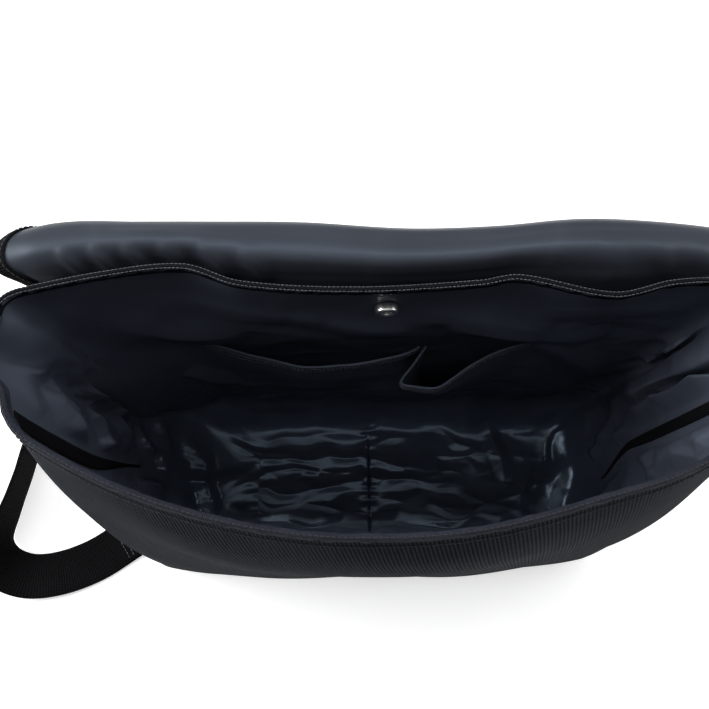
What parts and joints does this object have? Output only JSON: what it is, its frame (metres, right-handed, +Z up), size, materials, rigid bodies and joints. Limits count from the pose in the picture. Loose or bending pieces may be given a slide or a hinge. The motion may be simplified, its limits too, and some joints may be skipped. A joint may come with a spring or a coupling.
{
  "type": "bicycle front bag",
  "caption": "Soft bicycle front bag with a wide open mouth, shiny lining, inner pockets, a magnetic snap, a flap thrown back and a webbing strap at one end.",
  "frame": {"origin": "middle of the flat underside of the base panel, where the bag stands on a surface", "axes": "+X to the bag's right seen from the front, +Y towards the back wall that carries the flap, +Z up out of the open mouth"},
  "size_m": [0.5766, 0.2133, 0.3011],
  "materials": {
    "outer": "ribbed navy-charcoal nylon cloth, matt with a faint sheen",
    "lining": "glossy black-navy nylon taffeta, wrinkled",
    "hem": "folded navy hem tape with two rows of pale grey stitching",
    "flap_satin": "smooth charcoal satin lining",
    "binding": "black woven edge tape",
    "webbing": "black woven webbing",
    "nickel": "polished nickel plate"
  },
  "bodies": {
    "root": {"front_panel": "outer", "gusset_right": "outer", "back_panel": "outer", "gusset_left": "outer", "base_panel": "outer", "lining_walls": "lining", "lining_floor_left": "lining", "lining_floor_right": "lining", "rim_binding_front": "hem", "rim_binding_back": "hem", "corner_tape_left": "binding", "corner_tape_right": "binding", "flap_lining": "flap_satin", "flap_outer": "outer", "flap_binding": "binding", "slip_pocket": "lining", "phone_pocket": "lining", "snap_back": "nickel", "snap_front": "nickel", "strap": "webbing", "strap_tab": "webbing"}
  },
  "joints": []
}
